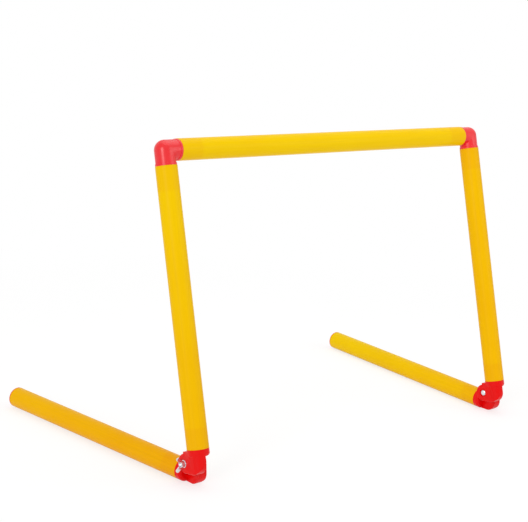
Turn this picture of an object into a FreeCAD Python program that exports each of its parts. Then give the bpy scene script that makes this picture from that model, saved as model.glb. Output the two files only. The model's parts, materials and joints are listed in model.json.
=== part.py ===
import FreeCAD, Part
import math
import os

os.makedirs("parts", exist_ok=True)
V = FreeCAD.Vector
O, X, Y, Z = V(0, 0, 0), V(1, 0, 0), V(0, 1, 0), V(0, 0, 1)

# Driving dimensions, in millimetres and degrees
tube_od = 32.0           # all five tubes are cut from one pipe
tube_wall = 2.0
crossbar_length = 600.0
upright_length = 400.0
leg_length = 400.0
stand_angle = 75.0       # between an upright and its leg as the hurdle stands
toe_out = 5.0            # each leg points outwards by this much, seen from above
fold_gap = 0.8           # left between a leg and its upright when folded flat

# Spigots, moulded on the fittings and pushed into the pipes
spigot_length = 30.0     # on hinge halves and end plugs
elbow_spigot = 36.0
spigot_wall = 2.4
lead_in = 1.0

# Elbows
elbow_od = 29.8
elbow_rim_od = 31.2
elbow_rim = 3.5
elbow_reach = 22.0       # from the crossing of the pipe axes to the pipe end

# Hinge halves
hinge_width = 30.0       # over both tabs, which lap at the middle
lobe_od = 28.4           # round end of a tab, around the bolt
lobe_round = 2.0
collar_land = 5.4        # from the top of the lobe to the pipe end
collar_length = 11.0
collar_round = 4.5
shelf_drop = 2.4         # from the pipe end to the square top of the tab

# Bolt, washer and wing nut
bolt_d = 5.0
bolt_end = 1.5           # stands out past the nut
bolt_chamfer = 0.6
head_d = 10.8
head_height = 2.6
head_sink = 1.8
seat_clearance = 0.8     # round the head in its seat
neck_height = 3.0
washer_d = 11.0
washer_height = 1.0
hub_d = 9.4
hub_top_d = 7.8
hub_height = 6.0
wing_span = 22.0
wing_height = 12.5
wing_tip_r = 2.7
wing_thick = 2.2

# End plugs
flange = 1.5
flange_round = 0.6

# Clearances
turn_clearance = 0.3     # between curved faces that turn against each other
fit_clearance = 0.1      # between fixed pieces pushed together

# Sizes that follow from the others
tube_r = tube_od / 2
bore_r = tube_r - tube_wall
spigot_r = bore_r - fit_clearance
core_r = spigot_r - spigot_wall
lobe_r = lobe_od / 2
tab_face = hinge_width / 2
pivot_offset = tube_r + fold_gap / 2
pivot_along = pivot_offset / math.tan(math.radians(stand_angle / 2))
hinge_reach = pivot_along + lobe_r + collar_land
collar_start = hinge_reach - collar_length
lean = 90.0 - stand_angle
half_span = crossbar_length / 2 + elbow_reach
upright_top = hinge_reach + upright_length + elbow_reach
half_angle = math.radians(stand_angle / 2)
bisector = V(0, math.cos(half_angle), math.sin(half_angle))
tab_pivot = V(0, pivot_offset, pivot_along)
pivot = V(0, pivot_along, pivot_offset)


def rod(radius, length, start, direction):
    return Part.makeCylinder(radius, length, start, direction)


def edges_at(shape, test):
    return [edge for edge in shape.Edges if test(edge.BoundBox)]


def on_upright(shape):
    # from the Z axis, where fittings are drawn, to the leaning upright
    shape.rotate(O, X, -lean)
    return shape


def on_leg(shape):
    # the leg's half of the hinge is the upright's half turned over about the bisector
    shape = on_upright(shape)
    shape.rotate(O, bisector, 180)
    return shape


def toed(shape, side):
    # leg pipes point a little outwards from the root of the hinge
    shape.rotate(V(0, pivot_along, 0), Z, -side * toe_out)
    return shape


def pipe(length, start):
    # a cut length of pipe on the Z axis
    return rod(tube_r, length, Z * start, Z).cut(rod(bore_r, length, Z * start, Z))


def spigot(start, length):
    # the part of a fitting that goes into a pipe, still solid
    plug = rod(spigot_r, length, Z * start, Z)
    top = start + length
    return plug.makeChamfer(lead_in, edges_at(plug, lambda b: b.ZMin > top - lead_in))


def spigot_core(start, length):
    return rod(core_r, length, Z * start, Z)


def hinge_socket():
    # the collar that a pipe butts against, with its spigot
    collar = rod(tube_r, collar_length, Z * collar_start, Z)
    low = edges_at(collar, lambda b: b.ZMax < collar_start + lead_in)
    collar = collar.makeFillet(collar_round, low)
    plug = spigot(hinge_reach, spigot_length)
    return collar.fuse(plug).cut(spigot_core(hinge_reach, spigot_length))


def tab_outline():
    # side view of a tab: a round end on the pipe's axis joined to the lobe around the bolt
    root = Z * pivot_along
    slope = (tube_r - lobe_r) / pivot_offset
    rise = math.sqrt(1 - slope ** 2)
    low, high = V(0, slope, -rise), V(0, slope, rise)
    lower_side = Part.LineSegment(root + low * tube_r, tab_pivot + low * lobe_r)
    lobe = Part.Arc(tab_pivot + low * lobe_r, tab_pivot + Y * lobe_r, tab_pivot + high * lobe_r)
    upper_side = Part.LineSegment(tab_pivot + high * lobe_r, root + high * tube_r)
    front = Part.Arc(root + high * tube_r, root - Y * tube_r, root + low * tube_r)
    return Part.Wire([part.toShape() for part in (lower_side, lobe, upper_side, front)])


def hinge_tab():
    # flat tab on the -X side of the middle; its front is rounded like the pipe
    tab = Part.Face(tab_outline()).extrude(-X * tab_face)
    rim = edges_at(tab, lambda b: b.XMax < lead_in - tab_face)
    tab = tab.makeFillet(lobe_round, rim)
    back = Part.makeBox(2 * tube_od, 2 * tube_od, 4 * tube_od, V(-tube_od, 0, -tube_od))
    tab = tab.common(back.fuse(rod(tube_r, 4 * tube_od, -Z * tube_od, Z)))
    slab = Part.makeBox(tab_face, 2 * tube_od, 2 * tube_od, V(-tab_face, -tube_od, 0))
    column = rod(tube_r, collar_start + collar_round - pivot_along, Z * pivot_along, Z).common(slab)
    shelf = Part.makeBox(tab_face, tube_r, hinge_reach - shelf_drop - pivot_along, V(-tab_face, 0, pivot_along))
    return tab.fuse([column, shelf])


def hinge_scoop():
    # room in the collar for the lobe of the other half
    return rod(lobe_r + turn_clearance, tube_od, tab_pivot, X)


def bolt_hole(takes_head):
    # square hole and shallow seat for the bolt's head, or a round hole to turn on the bolt
    start = tab_pivot - X * tube_od
    if not takes_head:
        return rod(bolt_d / 2 + turn_clearance, 2 * tube_od, start, X)
    hole = rod(bolt_d / 2 + fit_clearance, 2 * tube_od, start, X)
    seat = rod(head_d / 2 + seat_clearance, head_sink, tab_pivot - X * tab_face, X)
    side = bolt_d + 2 * fit_clearance
    square = Part.makeBox(neck_height + fit_clearance, side, side,
                          tab_pivot + V(head_sink - tab_face, -side / 2, -side / 2))
    return hole.fuse([seat, square])


def upper_half(side):
    socket = hinge_socket().cut(hinge_scoop())
    half = socket.fuse(hinge_tab()).cut(bolt_hole(side > 0))
    return on_upright(half.removeSplitter())


def lower_half(side):
    socket = toed(on_leg(hinge_socket()), side).cut(on_leg(hinge_scoop()))
    half = socket.fuse(on_leg(hinge_tab())).cut(on_leg(bolt_hole(side < 0)))
    return half.removeSplitter()


def at_pivot(shape, side):
    # hardware is drawn for the left hinge and mirrored for the right one
    if side > 0:
        shape = shape.mirror(O, X)
    shape.translate(pivot)
    return shape


def hinge_bolt(side):
    # cup head on the inner face, square neck, shank out through the washer and nut
    seat = tab_face - head_sink
    ball_r = ((head_d / 2) ** 2 + head_height ** 2) / (2 * head_height)
    ball = Part.makeSphere(ball_r, X * (seat + head_height - ball_r))
    head = ball.common(rod(head_d / 2, 2 * head_height, X * seat, X))
    neck = Part.makeBox(neck_height, bolt_d, bolt_d, V(seat - neck_height, -bolt_d / 2, -bolt_d / 2))
    tip = -tab_face - washer_height - hub_height - bolt_end
    shank = rod(bolt_d / 2, seat - tip, X * tip, X)
    shank = shank.makeChamfer(bolt_chamfer, edges_at(shank, lambda b: b.XMax < tip + bolt_chamfer))
    bolt = head.fuse([neck, shank]).removeSplitter()
    if side > 0:
        bolt.rotate(O, X, -lean)
    return at_pivot(bolt, side)


def washer(side):
    start = -X * tab_face
    ring = rod(washer_d / 2, washer_height, start, -X)
    return at_pivot(ring.cut(rod(bolt_d / 2 + turn_clearance, washer_height, start, -X)), side)


def wing_nut(side):
    # tapered hub with two ears, drawn along Z and then turned to face outwards
    hub = Part.makeCone(hub_d / 2, hub_top_d / 2, hub_height)
    out = wing_span / 2 - wing_tip_r
    up = wing_height - wing_tip_r
    root = hub_top_d / 4
    slope = math.atan2(up - hub_height / 2, out - root)
    ears = []
    for hand in (-1, 1):
        tip = rod(wing_tip_r, wing_thick, V(hand * out, -wing_thick / 2, up), Y)
        normal = V(-hand * math.sin(slope), 0, math.cos(slope)) * wing_tip_r
        foot = V(hand * root, -wing_thick / 2, hub_height / 2)
        end = V(hand * out, -wing_thick / 2, up)
        points = [foot - normal, end - normal, end + normal, foot + normal, foot - normal]
        ears.append(tip.fuse(Part.Face(Part.makePolygon(points)).extrude(Y * wing_thick)))
    bore = rod(bolt_d / 2 + turn_clearance, 2 * wing_height, -Z * lead_in, Z)
    nut = hub.fuse(ears).cut(bore).removeSplitter()
    nut.rotate(O, Y, -90)
    nut.translate(-X * (tab_face + washer_height))
    return at_pivot(nut, side)


def elbow(side):
    # two barrels that meet in a rounded corner, each with a rim and a spigot
    solid = [Part.makeSphere(elbow_od / 2)]
    hollow = [Part.makeSphere(core_r)]
    for turn in (-90 * side, 180):
        barrel = rod(elbow_od / 2, elbow_reach, O, Z)
        rim = rod(elbow_rim_od / 2, elbow_rim, Z * (elbow_reach - elbow_rim), Z)
        plug = spigot(elbow_reach, elbow_spigot)
        core = rod(core_r, elbow_reach + elbow_spigot, O, Z)
        for piece in (barrel, rim, plug, core):
            piece.rotate(O, Y, turn)
        solid += [barrel, rim, plug]
        hollow.append(core)
    corner = solid[0].fuse(solid[1:]).cut(hollow).removeSplitter()
    corner.translate(Z * upright_top)
    return on_upright(corner)


def upright(side):
    return on_upright(pipe(upright_length, hinge_reach))


def leg(side):
    return toed(on_leg(pipe(leg_length, hinge_reach)), side)


def end_plug(side):
    # rounded flange outside the leg's far end, hollow plug inside it
    disc = rod(tube_r, flange, O, Z)
    disc = disc.makeFillet(flange_round, edges_at(disc, lambda b: b.ZMin > flange - flange_round))
    plug = spigot(0, spigot_length).cut(spigot_core(0, spigot_length))
    plug.rotate(O, X, 180)
    cap = disc.fuse(plug).removeSplitter()
    cap.translate(Z * (hinge_reach + leg_length))
    return toed(on_leg(cap), side)


def crossbar():
    tube = pipe(crossbar_length, -crossbar_length / 2)
    tube.rotate(O, Y, 90)
    tube.translate(Z * upright_top)
    return on_upright(tube)


# Each side is built with the crossing of its pipe axes at the origin, then moved out
makers = {
    "elbow": elbow,
    "upright_tube": upright,
    "upper_hinge_half": upper_half,
    "lower_hinge_half": lower_half,
    "hinge_bolt": hinge_bolt,
    "washer": washer,
    "wing_nut": wing_nut,
    "leg_tube": leg,
    "end_plug": end_plug,
}
pieces = {"crossbar_tube": crossbar()}
for prefix, side in (("left_", -1), ("right_", 1)):
    for name, make in makers.items():
        shape = make(side)
        shape.translate(X * (side * half_span))
        pieces[prefix + name] = shape

# The origin is on the floor in the middle of the space that the hurdle takes up
box = Part.makeCompound(list(pieces.values())).optimalBoundingBox(False, False)
for name, shape in pieces.items():
    shape.translate(V(0, -(box.YMin + box.YMax) / 2, tube_r))
    shape.exportStep("parts/" + name + ".step")
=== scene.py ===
import json
import math

import bmesh
import bpy
from mathutils import Matrix, Vector


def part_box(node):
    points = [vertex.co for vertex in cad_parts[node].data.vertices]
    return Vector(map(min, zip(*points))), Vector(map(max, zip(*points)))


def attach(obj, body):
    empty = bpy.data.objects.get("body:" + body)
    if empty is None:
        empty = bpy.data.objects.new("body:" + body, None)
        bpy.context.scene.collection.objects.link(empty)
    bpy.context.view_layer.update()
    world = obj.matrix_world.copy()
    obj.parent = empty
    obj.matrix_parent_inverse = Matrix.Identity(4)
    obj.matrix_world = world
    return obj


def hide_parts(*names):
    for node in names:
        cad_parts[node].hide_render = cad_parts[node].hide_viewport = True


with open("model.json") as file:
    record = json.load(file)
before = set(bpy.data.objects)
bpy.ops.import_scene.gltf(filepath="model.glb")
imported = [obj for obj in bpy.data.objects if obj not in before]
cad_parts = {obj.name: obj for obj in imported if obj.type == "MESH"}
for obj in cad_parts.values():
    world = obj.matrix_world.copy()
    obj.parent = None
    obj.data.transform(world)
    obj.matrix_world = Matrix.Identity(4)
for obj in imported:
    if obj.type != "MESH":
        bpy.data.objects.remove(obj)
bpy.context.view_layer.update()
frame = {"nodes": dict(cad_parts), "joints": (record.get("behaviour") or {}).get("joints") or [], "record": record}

# Five pipes: the crossbar, two leaning uprights and two ground legs. They are sawn from
# one extruded PVC pipe, the saw's burr is broken at the ends, and they are pushed over the
# spigots of the red fittings. All but the end plugs' spigots show faintly through the wall.
PIPE_OD = 0.032
PIPE_WALL = 0.002
CROSSBAR = 0.600
UPRIGHT = 0.400
LEG = 0.400
BROKEN_EDGE = 0.0005
PIPE_SIDES = 96
EDGE_STEPS = 4
HINGE_SPIGOT = 0.030
ELBOW_SPIGOT = 0.036
PLUG_SPIGOT_SHOWN = 0.0
STAND_ANGLE = math.radians(75)
LEAN = math.radians(90) - STAND_ANGLE
TOE_OUT = math.radians(5)
PIVOT_OFFSET = 0.0164
PIVOT_ALONG = PIVOT_OFFSET / math.tan(STAND_ANGLE / 2)
LOBE_R = 0.0142
COLLAR_LAND = 0.0054
HINGE_REACH = PIVOT_ALONG + LOBE_R + COLLAR_LAND


def linear(hex_colour):
    # an sRGB hex value as the linear colour that a shader takes
    channels = [int(hex_colour[i:i + 2], 16) / 255 for i in (1, 3, 5)]
    return [c / 12.92 if c <= 0.04045 else ((c + 0.055) / 1.055) ** 2.4
            for c in channels] + [1.0]


def add(tree, kind, inputs=None, **settings):
    # adds a node; an input takes a value or the socket that feeds it
    made = tree.nodes.new(kind)
    for key, value in settings.items():
        setattr(made, key, value)
    for key, value in (inputs or {}).items():
        if isinstance(value, bpy.types.NodeSocket):
            tree.links.new(value, made.inputs[key])
        else:
            made.inputs[key].default_value = value
    return made


def new_material(name):
    # a material with its node tree and its shader
    material = bpy.data.materials.new(name)
    material.use_nodes = True
    return material, material.node_tree, material.node_tree.nodes["Principled BSDF"]


def finish(tree, shader, colour, roughness, bump, **constant):
    # joins the patterns to the shader and sets what is the same all over
    tree.links.new(colour, shader.inputs["Base Color"])
    tree.links.new(roughness, shader.inputs["Roughness"])
    tree.links.new(bump, shader.inputs["Normal"])
    for key, value in constant.items():
        shader.inputs[key.replace("_", " ")].default_value = value


# Extruded PVC: faint lines that the die draws along the pipe, a satin gloss that varies in long
# streaks, a yellow that clouds at random between warm and lemon, painted light and shade that runs
# each pipe from a darker warm yellow to a lighter lemon, and an orange cast over a red spigot.
# The lines are drawn coarser than real ones, to show.
STREAK_WIDTH, STREAK_LENGTH, CLOUD = 0.0016, 0.180, 0.090
PIPE_WARM, PIPE_LEMON, SPIGOT_RED = "#F6B100", "#FCD100", "#E01A20"
PIPE_GLOSS = (0.30, 0.38)
PIPE_SHINE = 0.05
STREAK_TONE = (0.97, 1.02)
CLOUDING = 0.2
SHOW_THROUGH = 0.07
SCATTER = 0.003
# most values of a noise pattern lie between these two
NOISE_LOW, NOISE_HIGH = 0.3, 0.7
pipe_yellow, tree, shader = new_material("extruded_yellow_pvc")
space = add(tree, "ShaderNodeAttribute", attribute_name="pipe_space").outputs["Vector"]
lines = add(tree, "ShaderNodeMapping", {
    "Vector": space, "Scale": (1 / STREAK_WIDTH, 1 / STREAK_WIDTH, 1 / STREAK_LENGTH)})
streaks = add(tree, "ShaderNodeTexNoise", {
    "Vector": lines.outputs[0], "Scale": 1.0, "Detail": 3.0, "Roughness": 0.6}).outputs["Fac"]
clouds = add(tree, "ShaderNodeTexNoise", {"Vector": space, "Scale": 1 / CLOUD, "Detail": 2.0})
# painted light and shade along each pipe: from a darker warm yellow to a lighter lemon
painted_light_share = add(tree, "ShaderNodeAttribute", attribute_name="painted_light_tone").outputs["Fac"]
drift = add(tree, "ShaderNodeMapRange", {
    "Value": clouds.outputs["Fac"], "To Min": -CLOUDING, "To Max": CLOUDING})
# the lemon share: the painted light and shade along the pipe, with random clouding on top
lemon = add(tree, "ShaderNodeMath", {0: painted_light_share, 1: drift.outputs[0]},
            operation="ADD", use_clamp=True)
pigment = add(tree, "ShaderNodeMix", {
    0: lemon.outputs[0], 6: linear(PIPE_WARM), 7: linear(PIPE_LEMON)}, data_type="RGBA")
tone = add(tree, "ShaderNodeMapRange", {
    "Value": streaks, "From Min": NOISE_LOW, "From Max": NOISE_HIGH,
    "To Min": STREAK_TONE[0], "To Max": STREAK_TONE[1]})
toned = add(tree, "ShaderNodeVectorMath", {
    0: pigment.outputs[2], "Scale": tone.outputs[0]}, operation="SCALE")
over = add(tree, "ShaderNodeSeparateXYZ", {
    0: add(tree, "ShaderNodeAttribute", attribute_name="over_spigot").outputs["Vector"]})
deeper = add(tree, "ShaderNodeMath", {0: over.outputs["X"], 1: over.outputs["Y"]},
             operation="MAXIMUM")
cast = add(tree, "ShaderNodeMapRange", {
    "Value": deeper.outputs[0], "From Min": -SCATTER, "From Max": SCATTER,
    "To Max": SHOW_THROUGH}, interpolation_type="SMOOTHSTEP")
tinted = add(tree, "ShaderNodeMix", {
    0: cast.outputs[0], 6: toned.outputs[0], 7: linear(SPIGOT_RED)}, data_type="RGBA")
gloss = add(tree, "ShaderNodeMapRange", {
    "Value": streaks, "From Min": NOISE_LOW, "From Max": NOISE_HIGH,
    "To Min": PIPE_GLOSS[0], "To Max": PIPE_GLOSS[1]})
die_lines = add(tree, "ShaderNodeBump", {
    "Height": streaks, "Strength": 0.12, "Distance": 0.00005})
finish(tree, shader, tinted.outputs[2], gloss.outputs[0], die_lines.outputs[0],
       IOR=1.53, Specular_IOR_Level=PIPE_SHINE)

# the pipe's wall is a rounded strip, as tall as the pipe is long, swept round a ring
pipe_rule = bpy.data.node_groups.new("sawn_pipe", "GeometryNodeTree")
pipe_rule.interface.new_socket("Geometry", in_out="OUTPUT", socket_type="NodeSocketGeometry")
for name in ("Outer Diameter", "Wall", "Length", "Broken Edge", "Spigot At Start",
             "Spigot At End", "Lemon At Start", "Lemon At End"):
    pipe_rule.interface.new_socket(name, in_out="INPUT", socket_type="NodeSocketFloat")
pipe_rule.interface.new_socket("Material", in_out="INPUT", socket_type="NodeSocketMaterial")
given = add(pipe_rule, "NodeGroupInput").outputs
inset = add(pipe_rule, "ShaderNodeMath", {0: given["Outer Diameter"], 1: given["Wall"]},
            operation="SUBTRACT")
ring_r = add(pipe_rule, "ShaderNodeMath", {0: inset.outputs[0], 1: 0.5}, operation="MULTIPLY")
ring = add(pipe_rule, "GeometryNodeCurvePrimitiveCircle", {
    "Resolution": PIPE_SIDES, "Radius": ring_r.outputs[0]})
strip = add(pipe_rule, "GeometryNodeCurvePrimitiveQuadrilateral", {
    "Width": given["Wall"], "Height": given["Length"]})
soft_strip = add(pipe_rule, "GeometryNodeFilletCurve", {
    "Curve": strip.outputs[0], "Count": EDGE_STEPS, "Radius": given["Broken Edge"]}, mode="POLY")
wall = add(pipe_rule, "GeometryNodeCurveToMesh", {
    "Curve": ring.outputs[0], "Profile Curve": soft_strip.outputs[0]})
half = add(pipe_rule, "ShaderNodeMath", {0: given["Length"], 1: 0.5}, operation="MULTIPLY")
rise = add(pipe_rule, "ShaderNodeCombineXYZ", {"Z": half.outputs[0]})
stood = add(pipe_rule, "GeometryNodeTransform", {
    "Geometry": wall.outputs[0], "Translation": rise.outputs[0]})
own_space = add(pipe_rule, "GeometryNodeInputPosition").outputs[0]
height = add(pipe_rule, "ShaderNodeSeparateXYZ", {0: own_space}).outputs["Z"]
from_start = add(pipe_rule, "ShaderNodeMath", {0: given["Spigot At Start"], 1: height},
                 operation="SUBTRACT")
bare = add(pipe_rule, "ShaderNodeMath", {0: given["Length"], 1: given["Spigot At End"]},
           operation="SUBTRACT")
from_end = add(pipe_rule, "ShaderNodeMath", {0: height, 1: bare.outputs[0]},
               operation="SUBTRACT")
covered = add(pipe_rule, "ShaderNodeCombineXYZ", {
    "X": from_start.outputs[0], "Y": from_end.outputs[0]})
# painted light and shade: a tone that runs along the pipe from its start value to its end value
painted_light_share = add(pipe_rule, "ShaderNodeMapRange", {
    "Value": height, "From Max": given["Length"],
    "To Min": given["Lemon At Start"], "To Max": given["Lemon At End"]})
kept = stood
for name, value in (("pipe_space", own_space), ("over_spigot", covered.outputs[0]),
                    ("painted_light_tone", painted_light_share.outputs[0])):
    kept = add(pipe_rule, "GeometryNodeStoreNamedAttribute", {
        "Geometry": kept.outputs[0], "Name": name, "Value": value},
        data_type="FLOAT_VECTOR", domain="POINT")
smooth = add(pipe_rule, "GeometryNodeSetShadeSmooth", {"Geometry": kept.outputs[0]})
whole = add(pipe_rule, "GeometryNodeRealizeInstances", {"Geometry": smooth.outputs[0]})
coated = add(pipe_rule, "GeometryNodeSetMaterial", {
    "Geometry": whole.outputs[0], "Material": given["Material"]})
add(pipe_rule, "NodeGroupOutput", {"Geometry": coated.outputs[0]})


def plain(piece):
    # applies what is on a piece, so that only its mesh is left
    depsgraph = bpy.context.evaluated_depsgraph_get()
    mesh = bpy.data.meshes.new_from_object(
        piece.evaluated_get(depsgraph), preserve_all_data_layers=True, depsgraph=depsgraph)
    piece.modifiers.clear()
    piece.data = mesh
    return piece


def made_by(rule, name, **sizes):
    # runs a geometry tree with its sizes and keeps the result as a plain mesh
    piece = bpy.data.objects.new(name, bpy.data.meshes.new(name))
    bpy.context.scene.collection.objects.link(piece)
    modifier = piece.modifiers.new("rule", "NODES")
    modifier.node_group = rule
    sockets = {s.name: s.identifier for s in rule.interface.items_tree if s.in_out == "INPUT"}
    for key, value in sizes.items():
        modifier[sockets[key.replace("_", " ")]] = value
    return plain(piece)


BODY_OF = {node: body for body, nodes in frame["record"]["behaviour"]["bodies"].items()
           for node in nodes}


def stands_for(piece, node):
    # puts a piece on the body of the node that it replaces
    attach(piece, BODY_OF[node])
    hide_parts(node)


SIDES = {"left": -1, "right": 1}
pivots = {side: Vector(joint["pos_m"]) for joint in frame["joints"] for side in SIDES
          if joint["name"] == side + "_leg_fold"}


def upright_place(side):
    # the lower end of the leaning upright, from where its axis crosses the leg's
    crossing = pivots[side] - Vector((0, PIVOT_ALONG, PIVOT_OFFSET))
    return (Matrix.Translation(crossing) @ Matrix.Rotation(-LEAN, 4, "X")
            @ Matrix.Translation((0, 0, HINGE_REACH)))


def leg_place(side):
    # the near end of the leg, which points outwards from the root of the hinge
    root = pivots[side] - Vector((0, 0, PIVOT_OFFSET))
    turn = (Matrix.Rotation(-SIDES[side] * TOE_OUT, 4, "Z")
            @ Matrix.Rotation(math.radians(-90), 4, "X"))
    reach = Matrix.Translation((0, 0, HINGE_REACH - PIVOT_ALONG))
    return Matrix.Translation(root) @ turn @ reach


# how lemon each pipe is at its start and at its end: painted light and shade, lighter lemon where more light falls
# and darker warm yellow where less
BAR_LEMON = (1.0, 0.9)
UPRIGHT_LEMON = {"left": (0.35, 0.9), "right": (0.35, 0.45)}
LEG_LEMON = {"left": (0.0, 0.27), "right": (0.5, 1.0)}
bar_middle = sum(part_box("crossbar_tube"), Vector()) / 2
bar_place = (Matrix.Translation(bar_middle) @ Matrix.Rotation(math.radians(90), 4, "Y")
             @ Matrix.Translation((0, 0, -CROSSBAR / 2)))
pipes = [("crossbar_tube", CROSSBAR, bar_place, ELBOW_SPIGOT, ELBOW_SPIGOT, BAR_LEMON)]
for side in SIDES:
    pipes.append((side + "_upright_tube", UPRIGHT, upright_place(side),
                  HINGE_SPIGOT, ELBOW_SPIGOT, UPRIGHT_LEMON[side]))
    pipes.append((side + "_leg_tube", LEG, leg_place(side),
                  HINGE_SPIGOT, PLUG_SPIGOT_SHOWN, LEG_LEMON[side]))
for node, length, place, first_spigot, last_spigot, lemon_ends in pipes:
    pipe = made_by(pipe_rule, node.replace("_tube", "_pipe"), Outer_Diameter=PIPE_OD,
                   Wall=PIPE_WALL, Length=length, Broken_Edge=BROKEN_EDGE,
                   Spigot_At_Start=first_spigot, Spigot_At_End=last_spigot,
                   Lemon_At_Start=lemon_ends[0], Lemon_At_End=lemon_ends[1],
                   Material=pipe_yellow)
    pipe.modifiers.new("even_shading", "WEIGHTED_NORMAL").weight = 100
    plain(pipe)
    pipe.data.transform(place)
    stands_for(pipe, node)

# Two corner elbows, injection-moulded in red polypropylene. Two barrels meet in a ball
# corner with a crease inside it; a low rim ends each barrel, and the hollow spigots
# hold the crossbar and an upright by friction alone.
ELBOW_EDGE = 0.0004
ELBOW_SHINE = 0.54
MOULDED_GLOSS = (0.26, 0.35)
GRAIN, FLOW = 0.0007, 0.030
SAME_POINT = 2e-6
SAME_CORNER = 3e-6
FLAT_ANGLE = math.radians(0.4)
EDGE_ANGLE = math.radians(28)


def moulded_polypropylene(name, dark, light, shine):
    # a moulded skin: grain from the tool, drawn coarser than real so that it shows, and
    # pigment and gloss that drift with the melt
    material, tree, shader = new_material(name)
    where = add(tree, "ShaderNodeTexCoord").outputs["Object"]
    grain = add(tree, "ShaderNodeTexNoise", {"Vector": where, "Scale": 1 / GRAIN, "Detail": 2.0})
    flow = add(tree, "ShaderNodeTexNoise", {
        "Vector": where, "Scale": 1 / FLOW, "Detail": 3.0, "Distortion": 0.6}).outputs["Fac"]
    pigment = add(tree, "ShaderNodeMix", {
        0: flow, 6: linear(dark), 7: linear(light)}, data_type="RGBA")
    gloss = add(tree, "ShaderNodeMapRange", {
        "Value": flow, "From Min": NOISE_LOW, "From Max": NOISE_HIGH,
        "To Min": MOULDED_GLOSS[0], "To Max": MOULDED_GLOSS[1]})
    skin = add(tree, "ShaderNodeBump", {
        "Height": grain.outputs["Fac"], "Strength": 0.10, "Distance": 0.00004})
    finish(tree, shader, pigment.outputs[2], gloss.outputs[0], skin.outputs[0],
           IOR=1.49, Specular_IOR_Level=shine)
    return material


def copy_of(node, name, material):
    # a merged copy of a node, smooth shaded
    source = frame["nodes"][node].data
    mesh = bpy.data.meshes.new(name)
    mesh.from_pydata([v.co[:] for v in source.vertices], [],
                     [p.vertices[:] for p in source.polygons])
    work = bmesh.new()
    work.from_mesh(mesh)
    bmesh.ops.remove_doubles(work, verts=work.verts, dist=SAME_POINT)
    bmesh.ops.dissolve_limit(work, angle_limit=FLAT_ANGLE, verts=work.verts, edges=work.edges)
    for face in work.faces:
        face.smooth = True
    work.to_mesh(mesh)
    work.free()
    mesh.materials.append(material)
    piece = bpy.data.objects.new(name, mesh)
    bpy.context.scene.collection.objects.link(piece)
    return piece


def softened(node, name, edge, material):
    # a copy of a node with its edges rounded as the mould or die leaves them
    piece = copy_of(node, name, material)
    rounding = piece.modifiers.new("rounded_edge", "BEVEL")
    rounding.width = edge
    rounding.segments = 3
    rounding.limit_method = "ANGLE"
    rounding.angle_limit = EDGE_ANGLE
    rounding.harden_normals = True
    piece.modifiers.new("closed_corners", "WELD").merge_threshold = SAME_CORNER
    return plain(piece)


elbow_red = moulded_polypropylene(
    "moulded_bright_red_polypropylene", "#ED181F", "#F52229", ELBOW_SHINE)
for side in SIDES:
    node = side + "_elbow"
    elbow = softened(node, side + "_corner_elbow", ELBOW_EDGE, elbow_red)
    stands_for(elbow, node)

# Four hinge halves of one form, moulded in a deeper red polypropylene. Each has a collar
# that the pipe butts against and a flat tab; the tabs of an upright and its leg lap at the
# middle, turn on one bolt and are clamped by it.
HINGE_EDGE = 0.0006
HINGE_SHINE = 0.15
hinge_red = moulded_polypropylene(
    "moulded_signal_red_polypropylene", "#E80708", "#F20F0E", HINGE_SHINE)
for side in SIDES:
    for place in ("upper", "lower"):
        node = side + "_" + place + "_hinge_half"
        moulding = softened(
            node, side + "_" + place + "_hinge_moulding", HINGE_EDGE, hinge_red)
        stands_for(moulding, node)

# Two M5 cup-head bolts of zinc-plated steel. The head sits in a shallow seat, a square
# neck keeps it from turning, and the rolled thread ends just past the wing nut.
BOLT_R = 0.0025
BOLT_SIDES = 48
HEAD_R = 0.0054
HEAD_HEIGHT = 0.0026
HEAD_STEPS = 10
NECK_HEIGHT = 0.003
THREAD_PITCH = 0.0008
THREAD_DEPTH = 0.00045
THREAD_LENGTH = 0.0104
TURN_STEPS = 40
RIDGE_SIDES = 4
CREASE_ANGLE = math.radians(32)
SPANGLE, SCRATCH = 0.0025, 0.0006
ZINC_GLOSS = (0.20, 0.34)

# zinc plating: bright pale metal with faint blotches of gloss and fine handling scratches,
# which are drawn coarser than real ones, to show
zinc, tree, shader = new_material("bright_zinc_plated_steel")
where = add(tree, "ShaderNodeTexCoord").outputs["Object"]
spangle = add(tree, "ShaderNodeTexNoise", {
    "Vector": where, "Scale": 1 / SPANGLE, "Detail": 3.0}).outputs["Fac"]
scratch = add(tree, "ShaderNodeTexNoise", {
    "Vector": where, "Scale": 1 / SCRATCH, "Detail": 2.0})
plating = add(tree, "ShaderNodeMix", {
    0: spangle, 6: linear("#C9CDD3"), 7: linear("#ECEEF0")}, data_type="RGBA")
gloss = add(tree, "ShaderNodeMapRange", {
    "Value": spangle, "From Min": NOISE_LOW, "From Max": NOISE_HIGH,
    "To Min": ZINC_GLOSS[0], "To Max": ZINC_GLOSS[1]})
scratched = add(tree, "ShaderNodeBump", {
    "Height": scratch.outputs["Fac"], "Strength": 0.08, "Distance": 0.00004})
finish(tree, shader, plating.outputs[2], gloss.outputs[0], scratched.outputs[0], Metallic=1.0)

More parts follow.
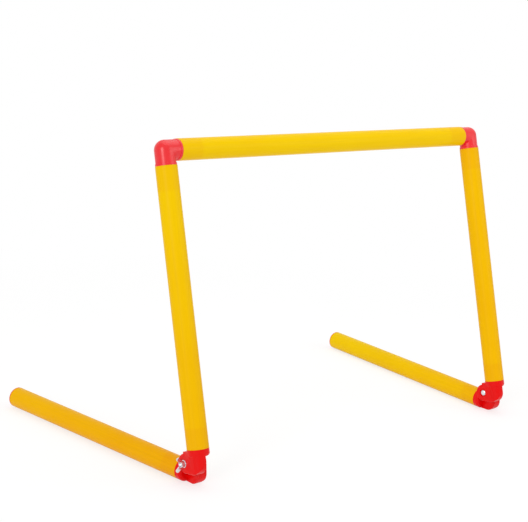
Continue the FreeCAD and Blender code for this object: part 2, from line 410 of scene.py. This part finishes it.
# the thread is a ridge that follows a spiral round the bolt's root
thread_rule = bpy.data.node_groups.new("rolled_thread", "GeometryNodeTree")
thread_rule.interface.new_socket("Geometry", in_out="OUTPUT", socket_type="NodeSocketGeometry")
for name in ("Root Radius", "Ridge", "Pitch", "Length"):
    thread_rule.interface.new_socket(name, in_out="INPUT", socket_type="NodeSocketFloat")
thread_rule.interface.new_socket("Material", in_out="INPUT", socket_type="NodeSocketMaterial")
given = add(thread_rule, "NodeGroupInput").outputs
turns = add(thread_rule, "ShaderNodeMath", {0: given["Length"], 1: given["Pitch"]},
            operation="DIVIDE")
spiral = add(thread_rule, "GeometryNodeCurveSpiral", {
    "Resolution": TURN_STEPS, "Rotations": turns.outputs[0],
    "Start Radius": given["Root Radius"], "End Radius": given["Root Radius"],
    "Height": given["Length"]})
upright_ridge = add(thread_rule, "GeometryNodeSetCurveNormal", {
    "Curve": spiral.outputs[0]}, mode="Z_UP")
profile = add(thread_rule, "GeometryNodeCurvePrimitiveCircle", {
    "Resolution": RIDGE_SIDES, "Radius": given["Ridge"]})
thread = add(thread_rule, "GeometryNodeCurveToMesh", {
    "Curve": upright_ridge.outputs[0], "Profile Curve": profile.outputs[0], "Fill Caps": True})
whole = add(thread_rule, "GeometryNodeRealizeInstances", {"Geometry": thread.outputs[0]})
coated = add(thread_rule, "GeometryNodeSetMaterial", {
    "Geometry": whole.outputs[0], "Material": given["Material"]})
add(thread_rule, "NodeGroupOutput", {"Geometry": coated.outputs[0]})


def turned(work, profile, steps):
    # a body of revolution about Z from a line of radius and height, closed by a point where
    # the radius is nought
    angles = [2 * math.pi * i / steps for i in range(steps)]
    rings = [[work.verts.new((r * math.cos(a), r * math.sin(a), z)) for a in angles]
             if r else [work.verts.new((0, 0, z))] for r, z in profile]
    for low, high in zip(rings, rings[1:]):
        for i in range(steps):
            corners = (low[i % len(low)], low[(i + 1) % steps % len(low)],
                       high[(i + 1) % steps % len(high)], high[i % len(high)])
            work.faces.new(dict.fromkeys(corners))


for side, hand in SIDES.items():
    node = side + "_hinge_bolt"
    low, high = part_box(node)
    length = high.x - low.x
    tip = Vector((high.x if hand > 0 else low.x, pivots[side].y, pivots[side].z))
    # the bolt is drawn with its tip at the origin and its head below
    ball_r = (HEAD_R ** 2 + HEAD_HEIGHT ** 2) / (2 * HEAD_HEIGHT)
    reach = math.asin(HEAD_R / ball_r)
    dome = [(ball_r * math.sin(reach * i / HEAD_STEPS),
             ball_r * (1 - math.cos(reach * i / HEAD_STEPS)) - length)
            for i in range(HEAD_STEPS + 1)]
    root_r = BOLT_R - THREAD_DEPTH
    shank = [(BOLT_R, HEAD_HEIGHT - length), (BOLT_R, -THREAD_LENGTH - THREAD_DEPTH),
             (root_r, -THREAD_LENGTH), (root_r, -THREAD_DEPTH),
             (root_r - THREAD_DEPTH, 0), (0, 0)]
    work = bmesh.new()
    turned(work, dome + shank, BOLT_SIDES)
    neck = Matrix.Translation((0, 0, HEAD_HEIGHT + NECK_HEIGHT / 2 - length))
    square = Matrix.Diagonal((2 * BOLT_R, 2 * BOLT_R, NECK_HEIGHT, 1))
    bmesh.ops.create_cube(work, size=1.0, matrix=neck @ square)
    ridge = made_by(thread_rule, side + "_thread", Root_Radius=root_r, Ridge=THREAD_DEPTH,
                    Pitch=THREAD_PITCH, Length=THREAD_LENGTH - THREAD_PITCH - THREAD_DEPTH,
                    Material=zinc)
    ridge.data.transform(Matrix.Translation((0, 0, THREAD_PITCH / 2 - THREAD_LENGTH)))
    work.from_mesh(ridge.data)
    bpy.data.objects.remove(ridge)
    bolt_mesh = bpy.data.meshes.new(side + "_cup_bolt")
    work.to_mesh(bolt_mesh)
    work.free()
    bolt_mesh.materials.append(zinc)
    bolt_mesh.set_sharp_from_angle(angle=CREASE_ANGLE)
    bolt_mesh.transform(Matrix.Translation(tip) @ Matrix.Rotation(-LEAN * (hand > 0), 4, "X")
                        @ Matrix.Rotation(hand * math.radians(90), 4, "Y"))
    bolt = bpy.data.objects.new(side + "_cup_bolt", bolt_mesh)
    bpy.context.scene.collection.objects.link(bolt)
    stands_for(bolt, node)

# Two flat washers, punched from zinc-plated strip with a slightly rolled edge. They
# spread the pull of the wing nut on the tab.
WASHER_EDGE = 0.0003
for side in SIDES:
    node = side + "_washer"
    washer = softened(node, side + "_flat_washer", WASHER_EDGE, zinc)
    stands_for(washer, node)

# Two wing nuts, cast in zinc alloy and plated: a tapered hub and two ears to turn by
# hand, all running into each other in the soft fillets of a casting.
CAST_DETAIL = 0.0002
FILLET_PASSES = 10
for side in SIDES:
    node = side + "_wing_nut"
    nut = copy_of(node, side + "_cast_wing_nut", zinc)
    skin = nut.modifiers.new("cast_skin", "REMESH")
    skin.mode = "VOXEL"
    skin.voxel_size = CAST_DETAIL
    skin.use_smooth_shade = True
    fillets = nut.modifiers.new("fillets", "SMOOTH")
    fillets.factor = 0.5
    fillets.iterations = FILLET_PASSES
    plain(nut)
    stands_for(nut, node)

# Two end plugs of the hinges' red polypropylene close the far ends of the legs. Only the
# thin rounded flange shows past the pipe.
PLUG_EDGE = 0.0004
for side in SIDES:
    node = side + "_end_plug"
    plug = softened(node, side + "_leg_plug", PLUG_EDGE, hinge_red)
    stands_for(plug, node)

# The studio: a plain white floor that runs into a white surround, and soft lamps from
# above, from the left and from the right.
FLOOR_HALF = 9.0
FLOOR_DROP = 0.0003
PAPER = 0.95
SHADOW_GLOW = 0.72
SHADOW_PAPER = 0.33
SHADOW_NEAR, SHADOW_FAR = 0.6, 1.3
SURROUND_LIGHT = 0.56
LAMP_AIM = Vector((0, 0, 0.2))
scene = bpy.context.scene


def seen_share(tree):
    # 1 for what is seen, straight or mirrored, and 0 for light that falls on the object
    rays = add(tree, "ShaderNodeLightPath").outputs
    seen = add(tree, "ShaderNodeMath", {0: rays["Is Camera Ray"], 1: rays["Is Glossy Ray"]},
               operation="MAXIMUM")
    return add(tree, "ShaderNodeMath", {0: seen.outputs[0], 1: rays["Is Transmission Ray"]},
               operation="MAXIMUM").outputs[0]


studio_white = bpy.data.materials.new("white_studio_paper")
studio_white.use_nodes = True
tree = studio_white.node_tree
tree.nodes.clear()
seen = seen_share(tree)
# the paper takes the object's shadow near it, and runs out to plain white further off
where = add(tree, "ShaderNodeTexCoord").outputs["Object"]
away = add(tree, "ShaderNodeVectorMath", {0: where}, operation="LENGTH")
fade = add(tree, "ShaderNodeMapRange", {
    "Value": away.outputs["Value"], "From Min": SHADOW_NEAR, "From Max": SHADOW_FAR},
    interpolation_type="SMOOTHSTEP").outputs[0]
seen_paper = add(tree, "ShaderNodeMapRange", {
    "Value": fade, "To Min": SHADOW_PAPER, "To Max": 0.0})
seen_glow = add(tree, "ShaderNodeMapRange", {
    "Value": fade, "To Min": SHADOW_GLOW, "To Max": 1.0})
tone = add(tree, "ShaderNodeMapRange", {
    "Value": seen, "To Min": PAPER, "To Max": seen_paper.outputs[0]})
level = add(tree, "ShaderNodeMapRange", {
    "Value": seen, "To Min": 0.0, "To Max": seen_glow.outputs[0]})
paper = add(tree, "ShaderNodeBsdfDiffuse", {"Color": tone.outputs[0]})
glow = add(tree, "ShaderNodeEmission", {
    "Color": linear("#FFFFFF"), "Strength": level.outputs[0]})
both = add(tree, "ShaderNodeAddShader", {0: paper.outputs[0], 1: glow.outputs[0]})
add(tree, "ShaderNodeOutputMaterial", {"Surface": both.outputs[0]})
corners = [(x * FLOOR_HALF, y * FLOOR_HALF, -FLOOR_DROP)
           for x, y in ((-1, -1), (1, -1), (1, 1), (-1, 1))]
floor_mesh = bpy.data.meshes.new("studio_floor")
floor_mesh.from_pydata(corners, [], [(0, 1, 2, 3)])
floor_mesh.materials.append(studio_white)
floor = bpy.data.objects.new("studio_floor", floor_mesh)
scene.collection.objects.link(floor)

scene.world = bpy.data.worlds.new("white_surround")
scene.world.use_nodes = True
tree = scene.world.node_tree
tree.nodes.clear()
level = add(tree, "ShaderNodeMapRange", {
    "Value": seen_share(tree), "To Min": SURROUND_LIGHT, "To Max": 1.0})
sky = add(tree, "ShaderNodeBackground", {
    "Color": linear("#FFFFFF"), "Strength": level.outputs[0]})
add(tree, "ShaderNodeOutputWorld", {"Surface": sky.outputs[0]})
# each lamp's name, place, width in metres and power in watts
for name, place, size, power in (("overhead_softbox", (0.2, 0.0, 2.4), 2.2, 15),
                                 ("left_softbox", (-7.6, -3.5, 3.3), 2.8, 208),
                                 ("right_softbox", (1.6, -2.4, 1.2), 1.6, 11)):
    lamp = bpy.data.lights.new(name, "AREA")
    lamp.energy = power
    lamp.size = size
    holder = bpy.data.objects.new(name, lamp)
    holder.location = place
    holder.rotation_euler = (LAMP_AIM - Vector(place)).to_track_quat("-Z", "Y").to_euler()
    scene.collection.objects.link(holder)

# The camera stands where the photograph was taken from, slightly tilted, with a long
# lens. Its values were fitted to the outlines of the pipes and the red fittings.
SENSOR = 36.0
IMAGE_WIDTH = 528
FOCAL_PIXELS = 1341.29
PAN, DOWN, ROLL = -0.72047, 0.20961, 0.06043
STAND = (-1.44498, -1.60083, 0.71132)
lens = bpy.data.cameras.new("photo_camera")
lens.sensor_width = SENSOR
lens.lens = FOCAL_PIXELS / IMAGE_WIDTH * SENSOR
lens.clip_start = 0.05
camera = bpy.data.objects.new("photo_camera", lens)
turn = (Matrix.Rotation(PAN, 4, "Z") @ Matrix.Rotation(math.pi / 2 - DOWN, 4, "X")
        @ Matrix.Rotation(ROLL, 4, "Z"))
camera.matrix_world = Matrix.Translation(STAND) @ turn
scene.collection.objects.link(camera)
scene.camera = camera
scene.view_settings.view_transform = "Standard"
